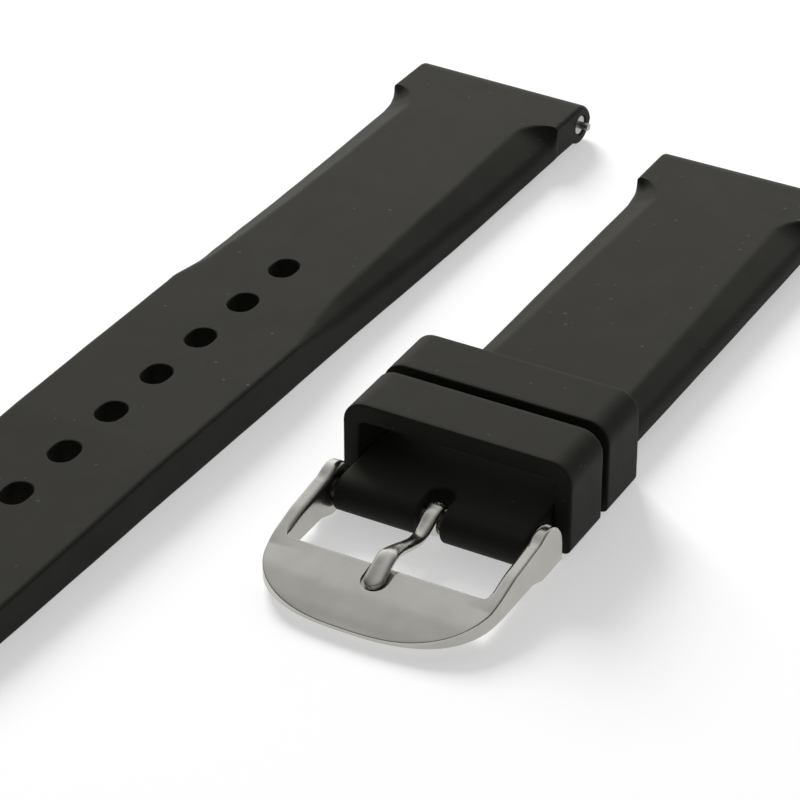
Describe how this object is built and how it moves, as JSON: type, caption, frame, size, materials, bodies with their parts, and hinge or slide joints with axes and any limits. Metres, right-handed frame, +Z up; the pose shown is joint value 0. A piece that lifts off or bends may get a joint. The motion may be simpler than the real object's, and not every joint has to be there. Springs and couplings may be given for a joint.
{
  "type": "rubber watch strap",
  "caption": "Rubber watch strap in separate halves: one with a pin buckle and keepers, the other with oval adjustment holes, each with a spring bar for the watch's lugs.",
  "frame": {"origin": "on the table, under the middle of the fixed keeper", "axes": "+Y along the buckle half from the buckle towards the watch, +X to the right seen from above with +Y ahead, +Z up from the strap's underside to its outer face"},
  "size_m": [0.0542, 0.1152, 0.0094],
  "materials": {
    "rubber": "matt moulded black rubber, slightly dusty",
    "keeper_rubber": "matt moulded black rubber",
    "buckle_steel": "finely brushed stainless steel",
    "bar_steel": "turned stainless steel",
    "spring_wire": "drawn spring wire"
  },
  "bodies": {
    "buckle_half": {"buckle_strap": "rubber", "fixed_keeper": "keeper_rubber", "buckle_bar_tube": "bar_steel", "buckle_bar_spring": "spring_wire", "short_lug_bar_tube": "bar_steel", "short_lug_bar_spring": "spring_wire"},
    "free_keeper": {"free_keeper": "keeper_rubber"},
    "buckle": {"buckle_frame": "buckle_steel"},
    "tang": {"buckle_tang": "buckle_steel"},
    "hole_half": {"hole_strap": "rubber", "long_lug_bar_tube": "bar_steel", "long_lug_bar_spring": "spring_wire"},
    "buckle_bar_left_tip": {"buckle_bar_left_tip": "bar_steel"},
    "buckle_bar_right_tip": {"buckle_bar_right_tip": "bar_steel"},
    "short_lug_bar_left_tip": {"short_lug_bar_left_tip": "bar_steel"},
    "short_lug_bar_right_tip": {"short_lug_bar_right_tip": "bar_steel"},
    "long_lug_bar_left_tip": {"long_lug_bar_left_tip": "bar_steel"},
    "long_lug_bar_right_tip": {"long_lug_bar_right_tip": "bar_steel"}
  },
  "joints": [
    {"name": "buckle_hinge", "type": "hinge", "parent": "buckle_half", "child": "buckle", "pos_m": [0, -0.00675, 0.00235], "axis": [-1, 0, 0], "range_deg": [-45, 25]},
    {"name": "tang_hinge", "type": "hinge", "parent": "buckle", "child": "tang", "pos_m": [0, -0.00675, 0.00235], "axis": [-1, 0, 0], "range_deg": [0, 75]},
    {"name": "free_keeper_slide", "type": "slide", "parent": "buckle_half", "child": "free_keeper", "axis": [0, 1, 0], "range_m": [-0.0009, 0.04]},
    {"name": "hole_half_slide", "type": "slide", "parent": "buckle_half", "child": "hole_half", "axis": [0.027, 0.9996, 0], "range_m": [-0.03, 0.03]},
    {"name": "buckle_bar_left_press", "type": "slide", "parent": "buckle_half", "child": "buckle_bar_left_tip", "axis": [1, 0, 0], "range_m": [0, 0.001], "stiffness_N_per_m": 1000, "springref_m": -0.002, "deforming": ["buckle_bar_spring"]},
    {"name": "buckle_bar_right_press", "type": "slide", "parent": "buckle_half", "child": "buckle_bar_right_tip", "axis": [-1, 0, 0], "range_m": [0, 0.001], "stiffness_N_per_m": 1000, "springref_m": -0.002, "deforming": ["buckle_bar_spring"]},
    {"name": "short_lug_bar_left_press", "type": "slide", "parent": "buckle_half", "child": "short_lug_bar_left_tip", "axis": [1, 0, 0], "range_m": [0, 0.001], "stiffness_N_per_m": 1000, "springref_m": -0.002, "deforming": ["short_lug_bar_spring"]},
    {"name": "short_lug_bar_right_press", "type": "slide", "parent": "buckle_half", "child": "short_lug_bar_right_tip", "axis": [-1, 0, 0], "range_m": [0, 0.001], "stiffness_N_per_m": 1000, "springref_m": -0.002, "deforming": ["short_lug_bar_spring"]},
    {"name": "long_lug_bar_left_press", "type": "slide", "parent": "hole_half", "child": "long_lug_bar_left_tip", "axis": [0.9996, -0.027, 0], "range_m": [0, 0.001], "stiffness_N_per_m": 1000, "springref_m": -0.002, "deforming": ["long_lug_bar_spring"]},
    {"name": "long_lug_bar_right_press", "type": "slide", "parent": "hole_half", "child": "long_lug_bar_right_tip", "axis": [-0.9996, 0.027, 0], "range_m": [0, 0.001], "stiffness_N_per_m": 1000, "springref_m": -0.002, "deforming": ["long_lug_bar_spring"]}
  ]
}
